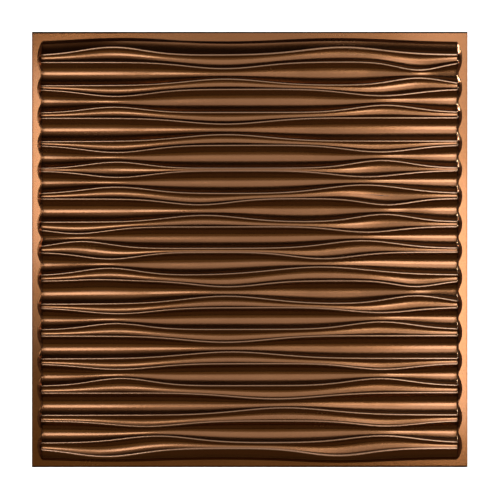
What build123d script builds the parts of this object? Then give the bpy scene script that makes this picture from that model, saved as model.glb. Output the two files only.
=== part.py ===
from build123d import *

import math
import os
from dataclasses import dataclass
from itertools import pairwise

# A lay-in ceiling tile: one vacuum-formed sheet, face up, with wavy ridges inside a flat flange.
# Millimetres, +Z up. The origin is at the middle of the flange's underside, and +X runs along the ridges.

# Driving dimensions of the sheet
TILE_WIDTH = 603.25
TILE_HEIGHT = 603.25
SHEET = 1.0
CREST_RISE = 8.0

# Driving dimensions of the ridged field inside the flange
END_FLANGE = 15.0
TOP_FLANGE = 15.5
BOTTOM_FLANGE = 11.5
TOP_MARGIN = 23.2
BOTTOM_MARGIN = 19.7
END_LOBE = 6.5
FIELD_LEAN = 0.8

# Driving dimensions of the scoops between neighbouring edges
VALLEY_RATIO = 0.26
RIDGE_RATIO = 0.22
FLOOR_RISE = 0.4

# Driving dimensions of the field's long side walls: a steep step up from the flange, and then a hollow
# that starts with a gentle slope and rises ever more steeply to the first or the last edge
TOP_STEP = 3.5
BOTTOM_STEP = 3.0
WALL_SLOPE = 0.15
WALL_RADIUS = 33.0

# Spacing of the sections that the field is lofted through, and the strips that its hollows are cut into
STATION_STEP = 24.0
VALLEY_STRIPS = 4
RIDGE_STRIPS = 3


@dataclass(frozen=True)
class Swell:
    """A smooth bulge of an edge line: its place along X, its height across Y and its half length."""

    at: float
    rise: float
    reach: float

    def lift(self, x: float) -> float:
        """Return how far the swell moves its edge line across Y at x."""
        return self.rise * math.exp(-(((x - self.at) / self.reach) ** 2))


@dataclass(frozen=True)
class EdgeLine:
    """A line that runs the length of the field: its offset from its row's middle, and its swells."""

    offset: float
    swells: tuple[Swell, ...]

    def y(self, x: float, row_y: float) -> float:
        """Return the line's Y at x, for a row whose middle is at row_y."""
        lean = FIELD_LEAN * x / FIELD_LENGTH
        return row_y + self.offset + lean + sum(swell.lift(x) for swell in self.swells)


# Each row is a ridge with two sharp edges, listed from the top of the tile down
ROWS = [
    (
        EdgeLine(4.9, (Swell(-189, 10.7, 60), Swell(128, 10.1, 78))),
        EdgeLine(-4.9, (Swell(-36, -8.9, 72), Swell(233, -11.0, 43))),
    ),
    (
        EdgeLine(1.5, (Swell(-34, 8.6, 76), Swell(232, 9.7, 50))),
        EdgeLine(-4.4, (Swell(-184, -9.3, 64), Swell(181, -8.9, 66))),
    ),
    (
        EdgeLine(2.2, (Swell(-187, 7.6, 55), Swell(186, 9.7, 58))),
        EdgeLine(-5.8, (Swell(-34, -8.3, 79),)),
    ),
    (
        EdgeLine(0.6, (Swell(-34, 9.1, 83),)),
        EdgeLine(-5.4, (Swell(-184, -9.4, 64), Swell(179, -9.2, 65))),
    ),
    (
        EdgeLine(1.7, (Swell(-184, 8.4, 55), Swell(182, 10.2, 55))),
        EdgeLine(-2.7, (Swell(-181, -8.4, 60), Swell(160, -7.9, 65))),
    ),
    (
        EdgeLine(4.8, (Swell(-184, 8.9, 64), Swell(157, 11.4, 75))),
        EdgeLine(-2.9, (Swell(-70, -8.2, 61), Swell(189, -8.4, 47))),
    ),
    (
        EdgeLine(3.7, (Swell(-63, 9.0, 72), Swell(185, 10.0, 53))),
        EdgeLine(-3.6, (Swell(-238, -8.7, 58), Swell(161, -7.3, 58))),
    ),
    (
        EdgeLine(5.5, (Swell(-232, 9.5, 53), Swell(155, 10.0, 66))),
        EdgeLine(-0.7, (Swell(-192, -8.7, 54), Swell(101, -8.7, 60))),
    ),
    (
        EdgeLine(6.6, (Swell(-194, 9.6, 55), Swell(98, 10.8, 94))),
        EdgeLine(-1.9, (Swell(-207, 2.2, 48), Swell(-31, -8.0, 64), Swell(229, -8.0, 42))),
    ),
    (
        EdgeLine(5.0, (Swell(-33, 10.4, 82), Swell(230, 10.7, 55))),
        EdgeLine(-0.8, (Swell(-181, -7.8, 68), Swell(179, -6.8, 61))),
    ),
    (
        EdgeLine(7.8, (Swell(-184, 8.2, 54), Swell(182, 10.0, 62))),
        EdgeLine(-1.5, (Swell(-34, -8.7, 82),)),
    ),
    (
        EdgeLine(5.7, (Swell(-26, 9.0, 90),)),
        EdgeLine(-1.8, (Swell(-181, -7.4, 69), Swell(183, -7.9, 60))),
    ),
    (
        EdgeLine(6.4, (Swell(-177, 10.1, 57), Swell(180, 9.4, 60))),
        EdgeLine(-3.9, (Swell(36, -8.3, 86),)),
    ),
    (
        EdgeLine(4.0, (Swell(49, 9.7, 88),)),
        EdgeLine(-4.6, (Swell(-144, -7.2, 69), Swell(189, -7.1, 58))),
    ),
    (
        EdgeLine(4.0, (Swell(-127, 9.1, 68), Swell(183, 9.1, 65))),
        EdgeLine(-4.0, (Swell(-198, -10.5, 65), Swell(121, -9.7, 62))),
    ),
]

# The field's two long sides swell a little with the first and the last ridge
TOP_SIDE = EdgeLine(TOP_MARGIN, (Swell(-173, 6.2, 104), Swell(118, 5.8, 118)))
BOTTOM_SIDE = EdgeLine(-BOTTOM_MARGIN, (Swell(-187, -2.6, 76), Swell(125, -4.4, 83)))

# Sizes worked out from the driving dimensions
FIELD_LENGTH = TILE_WIDTH - 2 * END_FLANGE
FIELD_END = FIELD_LENGTH / 2
FIRST_ROW_Y = TILE_HEIGHT / 2 - TOP_FLANGE - TOP_MARGIN
LAST_ROW_Y = -TILE_HEIGHT / 2 + BOTTOM_FLANGE + BOTTOM_MARGIN
ROW_PITCH = (FIRST_ROW_Y - LAST_ROW_Y) / (len(ROWS) - 1)
FLANGE_Z = SHEET
CREST_Z = FLANGE_Z + CREST_RISE
DEEPEST = CREST_RISE - FLOOR_RISE
CUSP_RUN = END_LOBE * FLOOR_RISE / CREST_RISE
SPANS = round(FIELD_LENGTH / STATION_STEP)

# A ridge has an upper flank, a top between its two sharp edges, and a lower flank
STRIPS_PER_ROW = VALLEY_STRIPS + RIDGE_STRIPS


def row_y(index: int) -> float:
    """Return the Y of a row's middle."""
    return FIRST_ROW_Y - index * ROW_PITCH


def line_ys(x: float) -> list[float]:
    """Return the Y of every line at x, from the field's top side down to its bottom side."""
    ys = [TOP_SIDE.y(x, FIRST_ROW_Y)]
    for index, (upper, lower) in enumerate(ROWS):
        ys += [upper.y(x, row_y(index)), lower.y(x, row_y(index))]
    return ys + [BOTTOM_SIDE.y(x, LAST_ROW_Y)]


def hollow(start: Vector, end: Vector, depth: float, strips: int) -> list[Vector]:
    """Return the points of the hollow from start to end, a parabola cut into strips, without start."""
    shares = [cut / strips for cut in range(1, strips + 1)]
    return [start + (end - start) * share - Vector(0, 0, 4 * depth * share * (1 - share)) for share in shares]


def scoop(upper: Vector, lower: Vector, ratio: float, strips: int) -> list[Vector]:
    """Return a scoop's points: its depth is in proportion to its width, as far as the field's floor."""
    depth = min(ratio * (upper.Y - lower.Y), DEEPEST)
    return hollow(upper, lower, depth, strips)


def wall(crest: Vector, step_y: float) -> list[Vector]:
    """Return the points of a long side's hollow, from the crest out to the top of the step."""
    run = abs(crest.Y - step_y)
    fall = min(run * (WALL_SLOPE + run / (2 * WALL_RADIUS)), DEEPEST)
    sag = run * run / (8 * WALL_RADIUS)
    step = Vector(crest.X, step_y, crest.Z - fall)
    return [crest] + hollow(crest, step, sag, VALLEY_STRIPS // 2)


def section(x: float) -> list[Vector]:
    """Return the points of the formed face's section across the field at x, from its top side down."""
    top_y, *crest_ys, bottom_y = line_ys(x)
    crests = [Vector(x, y, CREST_Z) for y in crest_ys]
    points = [Vector(x, top_y, FLANGE_Z)] + wall(crests[0], top_y - TOP_STEP)[::-1]
    for index, (upper, lower) in enumerate(pairwise(crests)):
        if index % 2:
            points += scoop(upper, lower, VALLEY_RATIO, VALLEY_STRIPS)
        else:
            points += scoop(upper, lower, RIDGE_RATIO, RIDGE_STRIPS)
    return points + wall(crests[-1], bottom_y + BOTTOM_STEP)[1:] + [Vector(x, bottom_y, FLANGE_Z)]


def lobe_point(above: Vector, top: Vector, bottom: Vector) -> Vector:
    """Return the point below another on a ridge's round foot, which bulges out between two cusps."""
    share = (top.Y - above.Y) / (top.Y - bottom.Y)
    run = CUSP_RUN + (END_LOBE - CUSP_RUN) * 4 * share * (1 - share)
    return Vector(above.X + math.copysign(run, above.X), above.Y, FLANGE_Z)


def foot(head: list[Vector]) -> list[Vector]:
    """Return the foot of an end wall on the flange, with one point below each point of the end section."""
    cusps = [head[0], *head[STRIPS_PER_ROW + 1 : -2 : STRIPS_PER_ROW], head[-1]]
    lobes = list(pairwise(cusps))
    return [lobe_point(point, *next(lobe for lobe in lobes if point.Y >= lobe[1].Y)) for point in head]


def rail(points: list[Vector]) -> Wire:
    """Return the open wire through the points."""
    return Wire.make_polygon(points, close=False)


def end_wall(head: list[Vector], toe: list[Vector]) -> list[Face]:
    """Return the facets of an end wall, two below each strip, from the end section down to the wall's foot."""
    facets = []
    for (upper, lower), (upper_toe, lower_toe) in zip(pairwise(head), pairwise(toe)):
        peak, far_toe = (upper, lower_toe) if upper.Z > lower.Z else (lower, upper_toe)
        corners = [(upper, lower, far_toe), (peak, lower_toe, upper_toe)]
        facets += [Face(Wire.make_polygon(points)) for points in corners]
    return facets


def long_side(field: Shell, line: EdgeLine, middle_y: float) -> Edge:
    """Return the field's own edge along one of its long sides, where it meets the flange."""
    start = Vector(-FIELD_END, line.y(-FIELD_END, middle_y), FLANGE_Z)
    end = Vector(FIELD_END, line.y(FIELD_END, middle_y), FLANGE_Z)
    return min(field.edges(), key=lambda edge: edge.distance_to(start) + edge.distance_to(end))


def formed_face() -> list[Face]:
    """Return the sheet's whole upper face: the lofted field, its two end walls and the flat flange."""
    places = [FIELD_END * (2 * index / SPANS - 1) for index in range(SPANS + 1)]
    field = Shell.make_loft([rail(section(x)) for x in places])
    faces = list(field.faces())
    hole = [long_side(field, TOP_SIDE, FIRST_ROW_Y), long_side(field, BOTTOM_SIDE, LAST_ROW_Y)]
    for x in (-FIELD_END, FIELD_END):
        head = section(x)
        toe = foot(head)
        faces += end_wall(head, toe)
        hole += rail([head[0], *toe, head[-1]]).edges()
    flange = Face(rim(), [Wire(hole)])
    return faces + [flange]


def rim() -> Wire:
    """Return the tile's square outline at the level of the flange's upper face."""
    return Wire.make_rect(TILE_WIDTH, TILE_HEIGHT).moved(Location((0, 0, FLANGE_Z)))


def ceiling_tile() -> Solid:
    """Return the formed sheet. Drawn sheet thins on its slopes, so its thickness is constant along Z."""
    drop = Vector(0, 0, -SHEET)
    face = formed_face()
    back = [part.moved(Location(drop)) for part in face]
    edges = [Face.extrude(edge, drop) for edge in rim().edges()]
    return Solid(Shell(face + back + edges))


def main() -> None:
    """Build the tile and write it."""
    os.makedirs("parts", exist_ok=True)
    export_step(ceiling_tile(), "parts/ceiling_tile.step")


main()
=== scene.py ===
"""A lay-in ceiling tile: one vacuum-formed vinyl sheet with wavy ridges, under a satin bronze film."""
import logging
import math
from dataclasses import dataclass
from enum import Enum
from itertools import pairwise
from typing import Any, NamedTuple

import bpy
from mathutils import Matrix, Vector


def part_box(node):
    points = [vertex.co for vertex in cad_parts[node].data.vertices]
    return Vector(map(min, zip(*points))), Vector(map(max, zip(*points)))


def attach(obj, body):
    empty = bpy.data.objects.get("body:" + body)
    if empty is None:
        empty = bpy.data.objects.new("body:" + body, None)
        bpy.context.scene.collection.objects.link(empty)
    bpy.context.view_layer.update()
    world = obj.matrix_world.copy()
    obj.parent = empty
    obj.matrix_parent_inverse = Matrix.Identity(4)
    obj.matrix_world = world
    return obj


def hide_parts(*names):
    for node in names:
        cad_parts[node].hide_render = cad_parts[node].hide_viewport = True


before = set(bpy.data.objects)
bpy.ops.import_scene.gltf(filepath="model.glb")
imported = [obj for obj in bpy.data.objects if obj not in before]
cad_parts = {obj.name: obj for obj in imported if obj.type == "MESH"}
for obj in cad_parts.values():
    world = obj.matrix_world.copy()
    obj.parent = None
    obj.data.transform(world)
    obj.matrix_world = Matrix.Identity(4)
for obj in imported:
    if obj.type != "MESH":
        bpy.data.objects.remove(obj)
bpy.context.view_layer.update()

log = logging.getLogger("ceiling_tile")

# The frame is in metres, and the sheet's own sizes are in millimetres
MM = 0.001
NODE = "ceiling_tile"

# Where the tile lies in the photograph, which is 500 px square
PHOTO_SIDE_PX = 500.0
TILE_LEFT_PX = 32.0
TILE_RIGHT_PX = 467.5
TILE_TOP_PX = 32.0
TILE_BOTTOM_PX = 467.0


class Attribute(Enum):
    """The values that the mesh carries for its finish, by name."""

    FILM = "film"
    # Paler tint where the film was stretched in forming, together with a painted highlight at the sharp
    # crests
    STRETCH_AND_HIGHLIGHT = "stretch_and_highlight"


class Point(NamedTuple):
    """A point of a section across the ridges, in millimetres."""

    y: float
    z: float


@dataclass(frozen=True)
class Swell:
    """A smooth bulge of an edge line: its place along X, its height across Y and its half length."""

    at: float
    rise: float
    reach: float

    def lift(self, x: float) -> float:
        """Return how far the swell moves its edge line across Y at x."""
        return self.rise * math.exp(-(((x - self.at) / self.reach) ** 2))


@dataclass(frozen=True)
class EdgeLine:
    """A line that runs the length of the field: its offset from its row's middle, and its swells."""

    offset: float
    swells: tuple[Swell, ...]

    def y(self, x: float, row_y: float) -> float:
        """Return the line's Y at x, for a row whose middle is at row_y."""
        return row_y + self.offset + sum(swell.lift(x) for swell in self.swells)


@dataclass(frozen=True)
class Ridge:
    """One wavy ridge, known by its two sharp edges."""

    upper: EdgeLine
    lower: EdgeLine


# The ridges, from the top of the tile down, as in the part's own source
RIDGES = (
    Ridge(
        EdgeLine(4.9, (Swell(-189, 10.7, 60), Swell(128, 10.1, 78))),
        EdgeLine(-4.9, (Swell(-36, -8.9, 72), Swell(233, -11.0, 43))),
    ),
    Ridge(
        EdgeLine(1.5, (Swell(-34, 8.6, 76), Swell(232, 9.7, 50))),
        EdgeLine(-4.4, (Swell(-184, -9.3, 64), Swell(181, -8.9, 66))),
    ),
    Ridge(
        EdgeLine(2.2, (Swell(-187, 7.6, 55), Swell(186, 9.7, 58))),
        EdgeLine(-5.8, (Swell(-34, -8.3, 79),)),
    ),
    Ridge(
        EdgeLine(0.6, (Swell(-34, 9.1, 83),)),
        EdgeLine(-5.4, (Swell(-184, -9.4, 64), Swell(179, -9.2, 65))),
    ),
    Ridge(
        EdgeLine(1.7, (Swell(-184, 8.4, 55), Swell(182, 10.2, 55))),
        EdgeLine(-2.7, (Swell(-181, -8.4, 60), Swell(160, -7.9, 65))),
    ),
    Ridge(
        EdgeLine(4.8, (Swell(-184, 8.9, 64), Swell(157, 11.4, 75))),
        EdgeLine(-2.9, (Swell(-70, -8.2, 61), Swell(189, -8.4, 47))),
    ),
    Ridge(
        EdgeLine(3.7, (Swell(-63, 9.0, 72), Swell(185, 10.0, 53))),
        EdgeLine(-3.6, (Swell(-238, -8.7, 58), Swell(161, -7.3, 58))),
    ),
    Ridge(
        EdgeLine(5.5, (Swell(-232, 9.5, 53), Swell(155, 10.0, 66))),
        EdgeLine(-0.7, (Swell(-192, -8.7, 54), Swell(101, -8.7, 60))),
    ),
    Ridge(
        EdgeLine(6.6, (Swell(-194, 9.6, 55), Swell(98, 10.8, 94))),
        EdgeLine(-1.9, (Swell(-207, 2.2, 48), Swell(-31, -8.0, 64), Swell(229, -8.0, 42))),
    ),
    Ridge(
        EdgeLine(5.0, (Swell(-33, 10.4, 82), Swell(230, 10.7, 55))),
        EdgeLine(-0.8, (Swell(-181, -7.8, 68), Swell(179, -6.8, 61))),
    ),
    Ridge(
        EdgeLine(7.8, (Swell(-184, 8.2, 54), Swell(182, 10.0, 62))),
        EdgeLine(-1.5, (Swell(-34, -8.7, 82),)),
    ),
    Ridge(
        EdgeLine(5.7, (Swell(-26, 9.0, 90),)),
        EdgeLine(-1.8, (Swell(-181, -7.4, 69), Swell(183, -7.9, 60))),
    ),
    Ridge(
        EdgeLine(6.4, (Swell(-177, 10.1, 57), Swell(180, 9.4, 60))),
        EdgeLine(-3.9, (Swell(36, -8.3, 86),)),
    ),
    Ridge(
        EdgeLine(4.0, (Swell(49, 9.7, 88),)),
        EdgeLine(-4.6, (Swell(-144, -7.2, 69), Swell(189, -7.1, 58))),
    ),
    Ridge(
        EdgeLine(4.0, (Swell(-127, 9.1, 68), Swell(183, 9.1, 65))),
        EdgeLine(-4.0, (Swell(-198, -10.5, 65), Swell(121, -9.7, 62))),
    ),
)


# The swells of the field's two long sides, which follow the first and the last ridge
TOP_SWELLS = (Swell(-173, 6.2, 104), Swell(118, 5.8, 118))
BOTTOM_SWELLS = (Swell(-187, -2.6, 76), Swell(125, -4.4, 83))


@dataclass(frozen=True)
class Hollow:
    """One span of a section: a parabola that sags below the straight line between its two ends.

    Its softness is how far the corner at its end is rounded, to either side.
    """

    start: Point
    end: Point
    depth: float
    steps: int
    softness: float = 0.0

    @property
    def width(self) -> float:
        """Return the span's extent across Y."""
        return self.start.y - self.end.y

    def at(self, share: float) -> Point:
        """Return the point at a share of the way from start to end."""
        straight = self.start.z + (self.end.z - self.start.z) * share
        return Point(self.start.y - self.width * share, straight - self.depth * arch(share))

    def after_start(self, setback: float) -> Point:
        """Return the point that lies a setback across Y from the start."""
        return self.at(setback / self.width)

    def before_end(self, setback: float) -> Point:
        """Return the point that lies a setback across Y from the end."""
        return self.at(1 - setback / self.width)


def shares(steps: int) -> list[float]:
    """Return the shares of the way at the end of each of some equal steps."""
    return [step / steps for step in range(1, steps + 1)]


def eased(steps: int) -> list[float]:
    """Return shares of the way that lie closer together at both ends, so that flat runs look flat."""
    return [(1 - math.cos(math.pi * share)) / 2 for share in shares(steps)]


def arch(share: float) -> float:
    """Return the height of a parabola that is 0 at both ends of the way and 1 at its middle."""
    return 4 * share * (1 - share)


def bezier(start: Vector, corner: Vector, end: Vector, share: float) -> Vector:
    """Return the point at a share of the way round a soft corner."""
    rest = 1 - share
    return start * rest * rest + corner * (2 * rest * share) + end * share * share


@dataclass
class FormedSheet:
    """The whole tile, one formed sheet: its patterned face, its open back and its cut edge.

    All sizes are in millimetres, apart from the ratios, the shares, the degrees and the counts of steps
    that the mesh is cut into. A rounded corner takes at most span_share of a span of the section, and
    wall_share of an end wall.
    """

    width: float
    height: float
    crest_z: float
    sheet: float = 1.0
    end_flange: float = 15.0
    top_flange: float = 15.5
    bottom_flange: float = 11.5
    top_margin: float = 23.2
    bottom_margin: float = 19.7
    end_lobe: float = 6.5
    lean: float = 0.8
    valley_ratio: float = 0.26
    ridge_ratio: float = 0.22
    floor_rise: float = 0.4
    top_step: float = 3.5
    bottom_step: float = 3.0
    wall_slope: float = 0.15
    wall_radius: float = 33.0
    rim_width: float = 2.4
    rim_drop: float = 0.9
    end_rim_drop: float = 0.06
    rim_bulge: float = 0.12
    crest_softness: float = 1.8
    foot_softness: float = 1.0
    step_softness: float = 1.2
    end_softness: float = 0.9
    end_foot_softness: float = 1.0
    field_steps: int = 120
    rim_steps: int = 3
    flange_steps: int = 6
    step_steps: int = 3
    wall_steps: int = 5
    ridge_steps: int = 6
    valley_steps: int = 9
    corner_steps: int = 4
    fall_steps: int = 4
    span_share: float = 1 / 3
    wall_share: float = 0.4
    # How pale the slopes are tinted, against 1 at the sharp crests: stretched film and painted highlight
    slope_stretch_and_highlight: float = 0.2
    sharp_degrees: float = 70.0
    name: str = "formed_tile_sheet"

    def __post_init__(self) -> None:
        """Work out the places that follow from the sizes."""
        self.field_length = self.width - 2 * self.end_flange
        self.field_end = self.field_length / 2
        self.first_row_y = self.height / 2 - self.top_flange - self.top_margin
        self.last_row_y = -self.height / 2 + self.bottom_flange + self.bottom_margin
        self.pitch = (self.first_row_y - self.last_row_y) / (len(RIDGES) - 1)
        self.deepest = self.crest_z - self.sheet - self.floor_rise
        self.cusp_run = self.end_lobe * self.floor_rise / (self.crest_z - self.sheet)
        self.top_side = EdgeLine(self.top_margin, TOP_SWELLS)
        self.bottom_side = EdgeLine(-self.bottom_margin, BOTTOM_SWELLS)

    def line_ys(self, x: float) -> list[float]:
        """Return the Y of every line of the field at x, from its top side down to its bottom side."""
        ys = [self.top_side.y(x, self.first_row_y)]
        for index, ridge in enumerate(RIDGES):
            row_y = self.first_row_y - index * self.pitch
            ys += [ridge.upper.y(x, row_y), ridge.lower.y(x, row_y)]
        ys.append(self.bottom_side.y(x, self.last_row_y))
        lean = self.lean * x / self.field_length
        return [y + lean for y in ys]

    def step_point(self, crest: Point, y: float) -> Point:
        """Return the top of a long side's step at y, below the crest that the wall's hollow rises to."""
        run = abs(crest.y - y)
        fall = run * (self.wall_slope + run / (2 * self.wall_radius))
        return Point(y, crest.z - min(fall, self.deepest))

    def wall_sag(self, crest: Point, step: Point) -> float:
        """Return how far a long side's hollow sags between its step and its crest."""
        return (crest.y - step.y) ** 2 / (8 * self.wall_radius)

    def spans(self, ys: list[float], lifts: list[float]) -> list[Hollow]:
        """Return the spans of a section, from the tile's top edge down to its bottom edge.

        Args:
            ys: The Y of every line of the field.
            lifts: How far each sharp edge stands above the height of the rounded crest.

        Returns:
            The rim, the flange, the step, the wall, the scoops in turn, and the same again to the other rim.
        """
        edge = self.height / 2
        rim_z = self.sheet - self.rim_drop
        top_rim, bottom_rim = (Point(side * (edge - self.rim_width), self.sheet) for side in (1, -1))
        top_foot, bottom_foot = Point(ys[0], self.sheet), Point(ys[-1], self.sheet)
        crests = [Point(y, self.crest_z + lift) for y, lift in zip(ys[1:-1], lifts)]
        top_step = self.step_point(crests[0], ys[0] - self.top_step)
        bottom_step = self.step_point(crests[-1], ys[-1] + self.bottom_step)
        top_sag, bottom_sag = self.wall_sag(crests[0], top_step), self.wall_sag(crests[-1], bottom_step)
        spans = [
            Hollow(Point(edge, rim_z), top_rim, -self.rim_bulge, self.rim_steps),
            Hollow(top_rim, top_foot, 0.0, self.flange_steps, self.foot_softness),
            Hollow(top_foot, top_step, 0.0, self.step_steps, self.step_softness),
            Hollow(top_step, crests[0], top_sag, self.wall_steps, self.crest_softness),
        ]
        for index, (upper, lower) in enumerate(pairwise(crests)):
            is_valley = index % 2 == 1
            ratio = self.valley_ratio if is_valley else self.ridge_ratio
            steps = self.valley_steps if is_valley else self.ridge_steps
            depth = min(ratio * (upper.y - lower.y), self.deepest)
            spans.append(Hollow(upper, lower, depth, steps, self.crest_softness))
        return spans + [
            Hollow(crests[-1], bottom_step, bottom_sag, self.wall_steps, self.step_softness),
            Hollow(bottom_step, bottom_foot, 0.0, self.step_steps, self.foot_softness),
            Hollow(bottom_foot, bottom_rim, 0.0, self.flange_steps),
            Hollow(bottom_rim, Point(-edge, rim_z), -self.rim_bulge, self.rim_steps),
        ]

    def setbacks(self, spans: list[Hollow]) -> list[float]:
        """Return how far each corner between two spans is rounded to either side."""
        limits = [min(before.width, after.width) * self.span_share for before, after in pairwise(spans)]
        return [min(span.softness, limit) for span, limit in zip(spans, limits)]

    def lifts(self, spans: list[Hollow]) -> list[float]:
        """Return what the rounding takes off each crest, by which its sharp edge has to be raised."""
        taken = []
        for (before, after), back in zip(pairwise(spans), self.setbacks(spans)):
            sides = before.before_end(back).z + after.after_start(back).z
            taken.append((2 * before.end.z - sides) / 4)
        return [lift for lift, span in zip(taken, spans) if span.end.z == self.crest_z]

    def section(self, x: float) -> list[Point]:
        """Return the points of the face's section across the tile at x, from its top edge down."""
        ys = self.line_ys(x)
        sharp = self.spans(ys, [0.0] * (2 * len(RIDGES)))
        spans = self.spans(ys, self.lifts(sharp))
        backs = [0.0, *self.setbacks(spans), 0.0]
        points = [spans[0].start]
        for index, span in enumerate(spans):
            first = backs[index] / span.width
            last = 1 - backs[index + 1] / span.width
            points += [span.at(first + (last - first) * share) for share in eased(span.steps)]
            if span.softness:
                after = spans[index + 1].after_start(backs[index + 1])
                turn = [Vector(point) for point in (points[-1], span.end, after)]
                points += [Point(*bezier(*turn, share)) for share in shares(self.corner_steps)]
        return [Point(y, min(z, self.crest_z)) for y, z in points]

    def run(self, y: float, cusps: list[float]) -> float:
        """Return how far the foot of an end wall stands out at y, on the lobe between two cusps."""
        for top, bottom in pairwise(cusps):
            if bottom <= y <= top:
                share = (top - y) / (top - bottom)
                return self.cusp_run + (self.end_lobe - self.cusp_run) * arch(share)
        return self.cusp_run

    def end_columns(self, side: int) -> list[list[Vector]]:
        """Return the columns of points from the field's end down its wall and out to the tile's edge.

        Args:
            side: -1 for the end at the left of the photograph, 1 for the one at the right.

        Returns:
            The columns, from the field outwards, each with one point for every row of the mesh.
        """
        place = side * self.field_end
        ys = self.line_ys(place)
        cusps = [ys[0], *((upper + lower) / 2 for upper, lower in zip(ys[2:-2:2], ys[3:-1:2])), ys[-1]]
        inner = self.section(place - side * self.end_softness)
        rim_x = side * (self.width / 2 - self.rim_width)
        strips = []
        for start, head in zip(inner, self.section(place)):
            level = min(head.z, self.sheet)
            rise = Vector((place - side * self.end_softness, *start))
            top = Vector((place, *head))
            toe = Vector((place + side * self.run(head.y, cusps), head.y, level))
            wall = toe - top
            top_back = min(self.end_softness / wall.length, self.wall_share)
            toe_back = min(self.end_foot_softness / wall.length, self.wall_share)
            drop = top + wall * top_back
            land = toe - wall * toe_back
            out = toe + Vector((side * toe_back * wall.length, 0, 0))
            rim = Vector((rim_x, head.y, level))
            edge = Vector((side * self.width / 2, head.y, min(level, self.sheet - self.end_rim_drop)))
            bulge = Vector((0, 0, self.rim_bulge * (rim - edge).z / self.rim_drop))
            strip = [bezier(rise, top, drop, share) for share in shares(self.corner_steps)]
            strip += [drop.lerp(land, share) for share in shares(self.fall_steps)]
            strip += [bezier(land, toe, out, share) for share in shares(self.corner_steps)]
            strip += [out.lerp(rim, share) for share in eased(self.flange_steps)]
            strip += [rim.lerp(edge, share) + bulge * arch(share) for share in shares(self.rim_steps)]
            strips.append(strip)
        return [list(column) for column in zip(*strips)]

    def columns(self) -> list[list[Vector]]:
        """Return every column of the face's points, from the tile's left edge to its right edge."""
        reach = self.field_end - self.end_softness
        places = [reach * (2 * step / self.field_steps - 1) for step in range(self.field_steps + 1)]
        field = [[Vector((x, *point)) for point in self.section(x)] for x in places]
        return self.end_columns(-1)[::-1] + field + self.end_columns(1)

    def stretch_and_highlight_rows(self) -> list[float]:
        """Return each row's pale tint, most at the sharp crests: partly how far the sheet was stretched in
        forming, partly a painted highlight.
        """
        spans = self.spans(self.line_ys(0.0), [0.0] * (2 * len(RIDGES)))
        rows = [0.0]
        for span in spans:
            is_flat = max(span.start.z, span.end.z) <= self.sheet
            level = 0.0 if is_flat else self.slope_stretch_and_highlight
            rows += [level] * span.steps
            if span.softness:
                # Full tint at the sharp crests, where it stands partly for stretched film and partly for a
                # painted highlight
                peak = 1.0 if span.end.z == self.crest_z else self.slope_stretch_and_highlight
                rows += [level + (peak - level) * arch(share) for share in shares(self.corner_steps)]
        return rows

    def build(self) -> bpy.types.Object:
        """Build the closed mesh of the sheet: face, back and cut edge.

        Returns:
            The new piece, in the frame's metres, linked to the scene.
        """
        columns = self.columns()
        tall = len(columns[0])
        face = [point for column in columns for point in column]
        lower = [point for column in columns[::2] for point in column[::2]]
        back = [Vector((point.x, point.y, max(point.z - self.sheet, 0.0))) for point in lower]
        back_tall = (tall + 1) // 2

        def front(column: int, row: int) -> int:
            """Return the index of a point of the face."""
            return column * tall + row

        def rear(column: int, row: int) -> int:
            """Return the index of the point of the back below a point of the face."""
            return len(face) + column // 2 * back_tall + row // 2

        last_column, last_row = len(columns) - 1, tall - 1
        polygons = []
        for column in range(last_column):
            for row in range(last_row):
                near = (front(column, row), front(column, row + 1))
                far = (front(column + 1, row + 1), front(column + 1, row))
                polygons.append(near + far)
        for column in range(0, last_column, 2):
            for row in range(0, last_row, 2):
                upper = (rear(column, row), rear(column + 2, row))
                under = (rear(column + 2, row + 2), rear(column, row + 2))
                polygons.append(upper + under)
        for row in range(0, last_row, 2):
            low, middle, high = row, row + 1, row + 2
            left = (front(0, high), front(0, middle), front(0, low), rear(0, low), rear(0, high))
            right = tuple(front(last_column, place) for place in (low, middle, high))
            polygons += [left, right + (rear(last_column, high), rear(last_column, low))]
        for column in range(0, last_column, 2):
            low, middle, high = column, column + 1, column + 2
            top = (front(low, 0), front(middle, 0), front(high, 0), rear(high, 0), rear(low, 0))
            bottom = tuple(front(place, last_row) for place in (high, middle, low))
            polygons += [top, bottom + (rear(low, last_row), rear(high, last_row))]
        mesh = bpy.data.meshes.new(self.name)
        mesh.from_pydata([point * MM for point in face + back], [], polygons)
        mesh.polygons.foreach_set("use_smooth", [True] * len(mesh.polygons))
        mesh.set_sharp_from_angle(angle=math.radians(self.sharp_degrees))
        # Pale tint at the crests and slopes, partly stretched film and partly painted highlight; flat parts
        # and the back get none
        flat = self.rim_steps + self.flange_steps + self.corner_steps
        untinted = [0.0] * (flat * tall)
        stretch_and_highlight_values = self.stretch_and_highlight_rows() * (len(columns) - 2 * flat)
        self.mark(mesh, Attribute.STRETCH_AND_HIGHLIGHT, untinted + stretch_and_highlight_values + untinted + [0.0] * len(back))
        self.mark(mesh, Attribute.FILM, [1.0] * len(face) + [0.0] * len(back))
        mesh.validate()
        piece = bpy.data.objects.new(self.name, mesh)
        bpy.context.scene.collection.objects.link(piece)
        return piece

    def mark(self, mesh: bpy.types.Mesh, attribute: Attribute, values: list[float]) -> None:
        """Give every point of the mesh its value of an attribute."""
        mesh.attributes.new(attribute.value, "FLOAT", "POINT").data.foreach_set("value", values)

    def dress(self, piece: bpy.types.Object, finish: "BronzeFilm") -> None:
        """Give the piece its finish and its place in the frame."""
        piece.data.materials.append(finish.material())
        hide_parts(NODE)
        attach(piece, "root")


# The sockets of a Mix node that mixes colours, which share their names with its other kinds
MIX_FACTOR = 0
MIX_FIRST = 6
MIX_SECOND = 7
MIX_RESULT = 2

# The middle of what a noise or a flake gives
MIDDLE = 0.5


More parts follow.
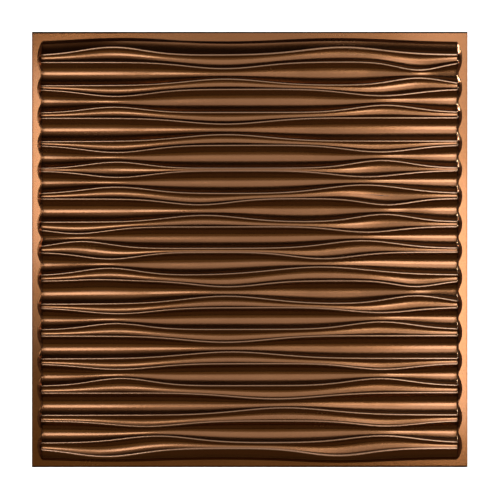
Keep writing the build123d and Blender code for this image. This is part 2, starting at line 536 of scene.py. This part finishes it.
class Graph:
    """The node tree of one material."""

    def __init__(self, tree: bpy.types.NodeTree) -> None:
        """Start with an empty tree."""
        self.tree = tree
        tree.nodes.clear()

    def node(
        self,
        kind: str,
        settings: dict[str, Any] | None = None,
        sockets: dict[str | int, Any] | None = None,
    ) -> bpy.types.Node:
        """Add a node.

        Args:
            kind: The node's type.
            settings: Its own settings, which are set first.
            sockets: The value or link of each input that is not left as it is.

        Returns:
            The new node.
        """
        made = self.tree.nodes.new(kind)
        for key, setting in (settings or {}).items():
            setattr(made, key, setting)
        for key, value in (sockets or {}).items():
            if isinstance(value, Value):
                self.tree.links.new(value.socket, made.inputs[key])
            elif isinstance(value, bpy.types.NodeSocket):
                self.tree.links.new(value, made.inputs[key])
            else:
                made.inputs[key].default_value = value
        return made

    def value(self, node: bpy.types.Node, output: str | int = 0) -> "Value":
        """Return a node's output for use in arithmetic."""
        return Value(self, node.outputs[output])

    def mix(self, share: "Value", first: Any, second: Any) -> bpy.types.NodeSocket:
        """Return the colour that lies a share of the way from the first to the second."""
        settings = {"data_type": "RGBA", "clamp_factor": True}
        sockets = {MIX_FACTOR: share, MIX_FIRST: first, MIX_SECOND: second}
        return self.node("ShaderNodeMix", settings, sockets).outputs[MIX_RESULT]


class Value:
    """A socket that holds one number, with Python's arithmetic on it."""

    def __init__(self, graph: Graph, socket: bpy.types.NodeSocket) -> None:
        """Wrap a socket of the graph."""
        self.graph = graph
        self.socket = socket

    def math(self, operation: str, first: Any, second: Any) -> "Value":
        """Return the result of a Math node."""
        made = self.graph.node("ShaderNodeMath", {"operation": operation}, {0: first, 1: second})
        return Value(self.graph, made.outputs[0])

    def __add__(self, other: Any) -> "Value":
        """Return self + other."""
        return self.math("ADD", self, other)

    def __radd__(self, other: Any) -> "Value":
        """Return other + self."""
        return self.math("ADD", other, self)

    def __sub__(self, other: Any) -> "Value":
        """Return self - other."""
        return self.math("SUBTRACT", self, other)

    def __rsub__(self, other: Any) -> "Value":
        """Return other - self."""
        return self.math("SUBTRACT", other, self)

    def __mul__(self, other: Any) -> "Value":
        """Return self * other."""
        return self.math("MULTIPLY", self, other)

    def __rmul__(self, other: Any) -> "Value":
        """Return other * self."""
        return self.math("MULTIPLY", other, self)


Colour = tuple[float, float, float, float]


@dataclass(frozen=True)
class BronzeFilm:
    """The sheet's finish: a satin metallic film on the face, and plain brown vinyl on the back."""

    bronze: Colour = (0.64, 0.268, 0.096, 1.0)
    deep_bronze: Colour = (0.52, 0.195, 0.062, 1.0)
    # Paler bronze at the sharp crests: partly film whitened by stretching, partly a painted highlight that
    # whitens the crest lines
    drawn_and_highlight_bronze: Colour = (0.64, 0.37, 0.24, 1.0)
    vinyl: Colour = (0.075, 0.042, 0.022, 1.0)
    roughness: float = 0.235
    vinyl_roughness: float = 0.55
    coat: float = 0.7
    coat_roughness: float = 0.12
    flake_mm: float = 0.45
    flake_height_mm: float = 0.0006
    peel_mm: float = 4.0
    peel_detail: float = 2.0
    peel_height_mm: float = 0.004
    clouds_per_m: float = 11.0
    cloud_detail: float = 3.0
    streak_mm: float = 2.2
    streaks_per_m: float = 5.0
    streak_detail: float = 2.0
    tone: float = 0.45
    cloud_tone: float = 0.9
    flake_tone: float = 0.5
    streak_tone: float = 0.3
    drawn_and_highlight_tone: float = 0.9
    flake_gloss: float = 0.05
    streak_gloss: float = 0.05
    cloud_gloss: float = 0.06

    def material(self) -> bpy.types.Material:
        """Return the material, with the film's flake, its faint ripple and the streaks of rolling."""
        material = bpy.data.materials.new("satin_bronze_film")
        material.use_nodes = True
        graph = Graph(material.node_tree)
        place = graph.node("ShaderNodeTexCoord").outputs["Object"]
        film = self.attribute(graph, Attribute.FILM)
        stretch_and_highlight = self.attribute(graph, Attribute.STRETCH_AND_HIGHLIGHT)
        flake_sockets = {"Vector": place, "Scale": 1 / (self.flake_mm * MM)}
        flakes = graph.node("ShaderNodeTexVoronoi", {"voronoi_dimensions": "3D"}, flake_sockets)
        glint = graph.value(graph.node("ShaderNodeSeparateColor", None, {"Color": flakes.outputs["Color"]}))
        peel = self.noise(graph, place, 1 / (self.peel_mm * MM), self.peel_detail)
        cloud = self.noise(graph, place, self.clouds_per_m, self.cloud_detail)
        streak_scale = (self.streaks_per_m, 1 / (self.streak_mm * MM), 1.0)
        rolled = graph.node("ShaderNodeMapping", None, {"Vector": place, "Scale": streak_scale})
        streak = self.noise(graph, rolled.outputs["Vector"], 1.0, self.streak_detail)
        cloudy = cloud - MIDDLE
        glinting = glint - MIDDLE
        streaky = streak - MIDDLE
        tone = self.tone + cloudy * self.cloud_tone + glinting * self.flake_tone + streaky * self.streak_tone
        bronze = graph.mix(tone, self.deep_bronze, self.bronze)
        # Paler towards the sharp crests: stretched film and painted highlight
        bronze = graph.mix(stretch_and_highlight * self.drawn_and_highlight_tone, bronze, self.drawn_and_highlight_bronze)
        colour = graph.mix(film, self.vinyl, bronze)
        gloss = glinting * self.flake_gloss + streaky * self.streak_gloss + cloudy * self.cloud_gloss
        satin = self.roughness + gloss
        roughness = film * satin + (1 - film) * self.vinyl_roughness
        height = peel * self.peel_height_mm + glint * self.flake_height_mm
        bump_sockets = {"Strength": 1.0, "Distance": MM, "Height": height}
        bump = graph.node("ShaderNodeBump", None, bump_sockets)
        surface = graph.node(
            "ShaderNodeBsdfPrincipled",
            None,
            {
                "Base Color": colour,
                "Metallic": film,
                "Roughness": roughness,
                "Coat Weight": self.coat,
                "Coat Roughness": self.coat_roughness,
                "Normal": bump.outputs["Normal"],
            },
        )
        graph.node("ShaderNodeOutputMaterial", None, {"Surface": surface.outputs["BSDF"]})
        return material

    def attribute(self, graph: Graph, attribute: Attribute) -> Value:
        """Return a value that the mesh carries."""
        return graph.value(graph.node("ShaderNodeAttribute", {"attribute_name": attribute.value}), "Fac")

    def noise(self, graph: Graph, place: bpy.types.NodeSocket, scale: float, detail: float) -> Value:
        """Return a noise of about 0.5 on average."""
        sockets = {"Vector": place, "Scale": scale, "Detail": detail}
        return graph.value(graph.node("ShaderNodeTexNoise", None, sockets))


@dataclass(frozen=True)
class SoftBox:
    """A soft studio light: its place and size in metres, its brightness and the point that it faces.

    Without such a point it faces straight down.
    """

    name: str
    place: tuple[float, float, float]
    size: tuple[float, float]
    radiance: float
    colour: tuple[float, float, float] = (1.0, 1.0, 1.0)
    aim: tuple[float, float, float] | None = None

    def build(self) -> None:
        """Add the light to the scene."""
        below = (self.place[0], self.place[1], 0.0)
        aim = below if self.aim is None else self.aim
        lamp = bpy.data.lights.new(self.name, "AREA")
        lamp.shape = "RECTANGLE"
        lamp.size, lamp.size_y = self.size
        lamp.energy = self.radiance * math.pi * self.size[0] * self.size[1]
        lamp.color = self.colour
        light = bpy.data.objects.new(self.name, lamp)
        light.location = self.place
        light.rotation_mode = "QUATERNION"
        light.rotation_quaternion = (Vector(aim) - Vector(self.place)).to_track_quat("-Z", "Y")
        bpy.context.scene.collection.objects.link(light)


@dataclass(frozen=True)
class Studio:
    """The pale floor, the lights and the camera."""

    tile_width: float
    camera_height: float = 1.6
    floor_radius: float = 3.2
    sweep_radius: float = 1.6
    wall_height: float = 4.0
    sweep_steps: int = 12
    floor_sides: int = 64
    floor_colour: Colour = (0.9, 0.9, 0.9, 1.0)
    floor_roughness: float = 0.9
    floor_light: Colour = (1.0, 1.0, 1.0, 1.0)
    floor_glow: float = 0.86
    room: Colour = (0.004, 0.002, 0.0008, 1.0)
    lights: tuple[SoftBox, ...] = (
        SoftBox("left_softbox", (-0.5, 0.235, 1.6), (0.3, 0.55), 2.7),
        SoftBox("right_softbox", (0.57, -0.13, 1.6), (0.25, 0.72), 3.5),
        SoftBox("right_wing", (0.57, 0.75, 1.6), (0.3, 1.0), 1.4),
        SoftBox("left_tail", (-0.5, -0.15, 1.6), (0.4, 0.24), 0.4),
        SoftBox("left_wing", (-0.55, 0.9, 1.6), (0.6, 0.7), 0.12, (1.0, 0.85, 0.7)),
        SoftBox("back_card", (-0.1, 1.6, 1.6), (1.8, 0.7), 0.04, (1.0, 0.7, 0.4)),
        SoftBox("right_back", (1.0, 2.4, 0.8), (1.2, 0.7), 0.07, (1.0, 0.7, 0.4), (0.2, 0.0, 0.0)),
        SoftBox("overhead_card", (0.05, 0.6, 1.7), (0.7, 1.9), 0.41),
        SoftBox("near_fill", (0.1, -0.8, 1.6), (2.2, 0.9), 0.12, (1.0, 0.76, 0.32)),
        SoftBox("front_fill", (0.0, -2.0, 1.2), (3.0, 1.2), 0.05, (1.0, 0.65, 0.3), (0.0, 0.0, 0.0)),
        SoftBox("back_strip", (0.0, 2.6, 0.6), (3.0, 0.5), 0.025, (1.0, 0.65, 0.3), (0.0, 0.0, 0.0)),
        SoftBox("left_wall", (-2.2, 0.0, 0.7), (2.6, 1.0), 0.12, (1.0, 0.8, 0.6), (0.0, 0.0, 0.0)),
        SoftBox("right_wall", (2.2, 0.0, 0.7), (2.6, 1.0), 0.12, (1.0, 0.8, 0.6), (0.0, 0.0, 0.0)),
        SoftBox("right_kicker", (1.9, 1.1, 0.6), (0.14, 0.3), 80.0, (0.6, 0.82, 1.0), (0.3, 0.0, 0.0)),
        SoftBox("left_kicker", (-1.5, 0.2, 0.9), (0.4, 0.6), 2.0, aim=(-0.3, 0.0, 0.0)),
    )

    def build(self) -> None:
        """Set up the whole studio."""
        self.floor()
        for light in self.lights:
            light.build()
        self.world()
        self.camera()

    def floor(self) -> None:
        """Lay the pale floor that the tile lies on, which sweeps up into a pale wall all round."""
        rings = [(self.floor_radius, 0.0)]
        for share in shares(self.sweep_steps):
            turn = share * math.pi / 2
            reach = self.floor_radius + self.sweep_radius * math.sin(turn)
            rings.append((reach, self.sweep_radius * (1 - math.cos(turn))))
        rings.append((rings[-1][0], self.wall_height))
        turns = [2 * math.pi * side / self.floor_sides for side in range(self.floor_sides)]
        points = [(reach * math.cos(turn), reach * math.sin(turn), z) for reach, z in rings for turn in turns]
        faces = [tuple(range(self.floor_sides))]
        for ring in range(len(rings) - 1):
            for side in range(self.floor_sides):
                here, there = ring * self.floor_sides, (ring + 1) * self.floor_sides
                after = (side + 1) % self.floor_sides
                faces.append((here + side, there + side, there + after, here + after))
        mesh = bpy.data.meshes.new("floor")
        mesh.from_pydata(points, [], faces)
        mesh.polygons.foreach_set("use_smooth", [False] + [True] * (len(faces) - 1))
        floor = bpy.data.objects.new("floor", mesh)
        bpy.context.scene.collection.objects.link(floor)
        material = bpy.data.materials.new("pale_floor")
        material.use_nodes = True
        graph = Graph(material.node_tree)
        sockets = {
            "Base Color": self.floor_colour,
            "Roughness": self.floor_roughness,
            "Emission Color": self.floor_light,
            "Emission Strength": self.floor_glow,
        }
        surface = graph.node("ShaderNodeBsdfPrincipled", None, sockets)
        graph.node("ShaderNodeOutputMaterial", None, {"Surface": surface.outputs["BSDF"]})
        mesh.materials.append(material)
        floor.visible_glossy = False

    def world(self) -> None:
        """Make the room round the studio dark."""
        world = bpy.data.worlds.new("studio")
        world.use_nodes = True
        world.node_tree.nodes["Background"].inputs["Color"].default_value = self.room
        bpy.context.scene.world = world
        bpy.context.scene.view_settings.view_transform = "Standard"

    def camera(self) -> None:
        """Point the camera straight down, so that the tile lies in the image as it does in the photograph."""
        scale = self.tile_width / (TILE_RIGHT_PX - TILE_LEFT_PX)
        data = bpy.data.cameras.new("camera")
        data.lens = data.sensor_width * self.camera_height / (scale * PHOTO_SIDE_PX)
        camera = bpy.data.objects.new("camera", data)
        middle_x = (TILE_LEFT_PX + TILE_RIGHT_PX) / 2
        middle_y = (TILE_TOP_PX + TILE_BOTTOM_PX) / 2
        shift_x = (PHOTO_SIDE_PX / 2 - middle_x) * scale
        shift_y = (middle_y - PHOTO_SIDE_PX / 2) * scale
        camera.location = (shift_x, shift_y, self.camera_height)
        bpy.context.scene.collection.objects.link(camera)
        bpy.context.scene.camera = camera


def main() -> None:
    """Build the tile and its studio."""
    logging.basicConfig(level=logging.INFO)
    low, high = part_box(NODE)
    size = (high - low) / MM
    tile = FormedSheet(width=size.x, height=size.y, crest_z=size.z)
    piece = tile.build()
    tile.dress(piece, BronzeFilm())
    log.info("%s: %d polygons", piece.name, len(piece.data.polygons))
    Studio(tile_width=size.x * MM).build()


if __name__ == "__main__":
    main()
